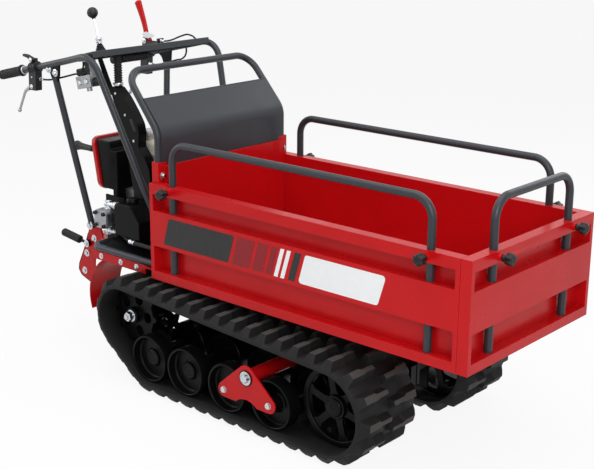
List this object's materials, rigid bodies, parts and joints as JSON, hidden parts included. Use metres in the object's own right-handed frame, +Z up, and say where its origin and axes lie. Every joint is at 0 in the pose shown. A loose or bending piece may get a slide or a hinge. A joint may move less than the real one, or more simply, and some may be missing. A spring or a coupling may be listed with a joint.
{
  "type": "tracked power carrier",
  "caption": "Walk-behind crawler carrier on rubber tracks with a tipping load box, slide-out panels with clamped hoops, an engine deck and rear handlebars.",
  "frame": {"origin": "ground level under the middle of the whole machine", "axes": "+X forward from the handlebars to the load box, +Y to the machine's left, +Z up"},
  "size_m": [2.005, 0.728, 1.1545],
  "materials": {
    "red_paint": "glossy powder coat",
    "grey_paint": "satin powder coat",
    "black_paint": "satin black paint",
    "black_plastic": "moulded, fine grain",
    "soft_rubber": "matt",
    "track_rubber": "moulded rubber with dusty lugs",
    "bright_steel": "bright plated",
    "cast_alloy": "as cast",
    "cream_plastic": "moulded, semi-gloss"
  },
  "bodies": {
    "root": {"chassis_frame": "grey_paint", "tracks": "track_rubber", "rear_frame": "red_paint", "guard_tubes": "grey_paint", "gearbox": "grey_paint", "belt_cover": "black_paint", "drive_belt": "black_paint", "engine_block": "cast_alloy", "fan_shroud": "black_plastic", "recoil_cover": "red_paint", "fuel_tank": "cream_plastic", "intake_and_exhaust": "black_paint", "gear_pump": "cast_alloy", "oil_tank": "black_paint", "hydraulic_hoses": "soft_rubber", "handlebars": "grey_paint", "console": "grey_paint", "grips": "soft_rubber", "lever_housings": "black_plastic", "control_cables": "black_plastic", "cable_conduit": "black_plastic", "gear_boot": "soft_rubber", "column_cover": "black_paint", "valve_block": "cast_alloy"},
    "load_box": {"box_floor": "red_paint", "rear_panel": "red_paint", "headboard_hoop": "grey_paint", "headboard_sheet": "grey_paint"},
    "side_panel_right": {"side_panel_right": "red_paint"},
    "side_panel_left": {"side_panel_left": "red_paint"},
    "front_panel": {"front_panel": "red_paint"},
    "side_hoop_right": {"side_hoop_right": "grey_paint"},
    "side_hoop_left": {"side_hoop_left": "grey_paint"},
    "front_hoop": {"front_hoop": "grey_paint"},
    "knobs_right": {"knobs_right": "black_plastic"},
    "knobs_left": {"knobs_left": "black_plastic"},
    "knobs_front": {"knobs_front": "black_plastic"},
    "ram_barrel": {"ram_barrel": "black_paint"},
    "ram_rod": {"ram_rod": "bright_steel"},
    "sprocket_right": {"sprocket_right": "black_paint"},
    "sprocket_left": {"sprocket_left": "black_paint"},
    "idler_right": {"idler_right": "black_paint"},
    "idler_left": {"idler_left": "black_paint"},
    "roller_right_1": {"roller_right_1": "black_paint"},
    "roller_right_2": {"roller_right_2": "black_paint"},
    "roller_right_3": {"roller_right_3": "black_paint"},
    "roller_right_4": {"roller_right_4": "black_paint"},
    "roller_left_1": {"roller_left_1": "black_paint"},
    "roller_left_2": {"roller_left_2": "black_paint"},
    "roller_left_3": {"roller_left_3": "black_paint"},
    "roller_left_4": {"roller_left_4": "black_paint"},
    "bogie_right": {"bogie_right": "red_paint"},
    "bogie_left": {"bogie_left": "red_paint"},
    "steering_lever_right": {"steering_lever_right": "bright_steel"},
    "steering_lever_left": {"steering_lever_left": "bright_steel"},
    "throttle_lever": {"throttle_lever": "black_plastic"},
    "gear_lever": {"gear_lever": "bright_steel"},
    "clutch_lever": {"clutch_lever": "red_paint"},
    "dump_lever": {"dump_lever": "black_plastic"},
    "starter_handle": {"starter_handle": "black_plastic"}
  },
  "joints": [
    {"name": "dump_tilt", "type": "hinge", "parent": "root", "child": "load_box", "pos_m": [0.6305, 0, 0.33], "axis": [0, 1, 0], "range_deg": [0, 45]},
    {"name": "ram_barrel_swing", "type": "hinge", "parent": "root", "child": "ram_barrel", "pos_m": [0.49039, 0, 0.11007], "axis": [0, 1, 0], "range_deg": [0, 22.5]},
    {"name": "ram_rod_swing", "type": "hinge", "parent": "load_box", "child": "ram_rod", "pos_m": [0.3705, 0, 0.35], "axis": [0, 1, 0], "range_deg": [-22.5, 0]},
    {"name": "side_slide_right", "type": "slide", "parent": "load_box", "child": "side_panel_right", "axis": [0, -1, 0], "range_m": [0, 0.15]},
    {"name": "side_slide_left", "type": "slide", "parent": "load_box", "child": "side_panel_left", "axis": [0, 1, 0], "range_m": [0, 0.15]},
    {"name": "front_slide", "type": "slide", "parent": "load_box", "child": "front_panel", "axis": [1, 0, 0], "range_m": [0, 0.15]},
    {"name": "hoop_lift_right", "type": "slide", "parent": "side_panel_right", "child": "side_hoop_right", "axis": [0, 0, 1], "range_m": [0, 0.15]},
    {"name": "hoop_lift_left", "type": "slide", "parent": "side_panel_left", "child": "side_hoop_left", "axis": [0, 0, 1], "range_m": [0, 0.15]},
    {"name": "hoop_lift_front", "type": "slide", "parent": "front_panel", "child": "front_hoop", "axis": [0, 0, 1], "range_m": [0, 0.15]},
    {"name": "knob_release_right", "type": "slide", "parent": "side_panel_right", "child": "knobs_right", "axis": [0, -1, 0], "range_m": [0, 0.008]},
    {"name": "knob_release_left", "type": "slide", "parent": "side_panel_left", "child": "knobs_left", "axis": [0, 1, 0], "range_m": [0, 0.008]},
    {"name": "knob_release_front", "type": "slide", "parent": "front_panel", "child": "knobs_front", "axis": [1, 0, 0], "range_m": [0, 0.008]},
    {"name": "sprocket_spin_right", "type": "hinge", "parent": "root", "child": "sprocket_right", "pos_m": [-0.2865, -0.239, 0.22], "axis": [0, 1, 0], "continuous": true},
    {"name": "idler_spin_right", "type": "hinge", "parent": "root", "child": "idler_right", "pos_m": [0.5385, -0.239, 0.154], "axis": [0, 1, 0], "continuous": true},
    {"name": "bogie_rock_right", "type": "hinge", "parent": "root", "child": "bogie_right", "pos_m": [0.2475, -0.239, 0.172], "axis": [0, 1, 0], "range_deg": [-5, 5], "deforming": ["tracks"]},
    {"name": "roller_spin_right_1", "type": "hinge", "parent": "root", "child": "roller_right_1", "pos_m": [-0.1765, -0.239, 0.112], "axis": [0, 1, 0], "continuous": true},
    {"name": "roller_spin_right_2", "type": "hinge", "parent": "root", "child": "roller_right_2", "pos_m": [-0.0165, -0.239, 0.112], "axis": [0, 1, 0], "continuous": true},
    {"name": "roller_spin_right_3", "type": "hinge", "parent": "bogie_right", "child": "roller_right_3", "pos_m": [0.1595, -0.239, 0.112], "axis": [0, 1, 0], "continuous": true},
    {"name": "roller_spin_right_4", "type": "hinge", "parent": "bogie_right", "child": "roller_right_4", "pos_m": [0.3355, -0.239, 0.112], "axis": [0, 1, 0], "continuous": true},
    {"name": "steering_squeeze_right", "type": "hinge", "parent": "root", "child": "steering_lever_right", "pos_m": [-0.8165, -0.246, 0.88134], "axis": [0, 1, 0], "range_deg": [0, 25], "stiffness_Nm_per_rad": 2},
    {"name": "sprocket_spin_left", "type": "hinge", "parent": "root", "child": "sprocket_left", "pos_m": [-0.2865, 0.239, 0.22], "axis": [0, 1, 0], "continuous": true},
    {"name": "idler_spin_left", "type": "hinge", "parent": "root", "child": "idler_left", "pos_m": [0.5385, 0.239, 0.154], "axis": [0, 1, 0], "continuous": true},
    {"name": "bogie_rock_left", "type": "hinge", "parent": "root", "child": "bogie_left", "pos_m": [0.2475, 0.239, 0.172], "axis": [0, 1, 0], "range_deg": [-5, 5], "deforming": ["tracks"]},
    {"name": "roller_spin_left_1", "type": "hinge", "parent": "root", "child": "roller_left_1", "pos_m": [-0.1765, 0.239, 0.112], "axis": [0, 1, 0], "continuous": true},
    {"name": "roller_spin_left_2", "type": "hinge", "parent": "root", "child": "roller_left_2", "pos_m": [-0.0165, 0.239, 0.112], "axis": [0, 1, 0], "continuous": true},
    {"name": "roller_spin_left_3", "type": "hinge", "parent": "bogie_left", "child": "roller_left_3", "pos_m": [0.1595, 0.239, 0.112], "axis": [0, 1, 0], "continuous": true},
    {"name": "roller_spin_left_4", "type": "hinge", "parent": "bogie_left", "child": "roller_left_4", "pos_m": [0.3355, 0.239, 0.112], "axis": [0, 1, 0], "continuous": true},
    {"name": "steering_squeeze_left", "type": "hinge", "parent": "root", "child": "steering_lever_left", "pos_m": [-0.8165, 0.246, 0.88134], "axis": [0, 1, 0], "range_deg": [0, 25], "stiffness_Nm_per_rad": 2},
    {"name": "throttle_turn", "type": "hinge", "parent": "root", "child": "throttle_lever", "pos_m": [-0.8085, -0.258, 0.97134], "axis": [0, 1, 0], "range_deg": [-35, 0]},
    {"name": "gear_shift", "type": "hinge", "parent": "root", "child": "gear_lever", "pos_m": [-0.54509, -0.19, 1.05625], "axis": [0, 1, 0], "range_deg": [-15, 15]},
    {"name": "clutch_squeeze", "type": "hinge", "parent": "root", "child": "clutch_lever", "pos_m": [-0.8045, 0.246, 0.98815], "axis": [0, -1, 0], "range_deg": [0, 50], "stiffness_Nm_per_rad": 3},
    {"name": "dump_lever_throw", "type": "hinge", "parent": "root", "child": "dump_lever", "pos_m": [-0.6765, -0.164, 0.346], "axis": [0, 1, 0], "range_deg": [-15, 15]},
    {"name": "starter_pull", "type": "slide", "parent": "root", "child": "starter_handle", "axis": [-1, 0, 0], "range_m": [0, 0.15], "stiffness_N_per_m": 60}
  ],
  "couplings": [
    {"joint": "ram_barrel_swing", "follows": "dump_tilt", "ratio": 0.5},
    {"joint": "ram_rod_swing", "follows": "dump_tilt", "ratio": -0.5},
    {"joint": "roller_spin_right_1", "follows": "sprocket_spin_right", "ratio": 1.2763},
    {"joint": "roller_spin_right_2", "follows": "sprocket_spin_right", "ratio": 1.2763},
    {"joint": "roller_spin_right_3", "follows": "sprocket_spin_right", "ratio": 1.2763},
    {"joint": "roller_spin_right_4", "follows": "sprocket_spin_right", "ratio": 1.2763},
    {"joint": "idler_spin_right", "follows": "sprocket_spin_right", "ratio": 0.82203},
    {"joint": "roller_spin_left_1", "follows": "sprocket_spin_left", "ratio": 1.2763},
    {"joint": "roller_spin_left_2", "follows": "sprocket_spin_left", "ratio": 1.2763},
    {"joint": "roller_spin_left_3", "follows": "sprocket_spin_left", "ratio": 1.2763},
    {"joint": "roller_spin_left_4", "follows": "sprocket_spin_left", "ratio": 1.2763},
    {"joint": "idler_spin_left", "follows": "sprocket_spin_left", "ratio": 0.82203}
  ]
}
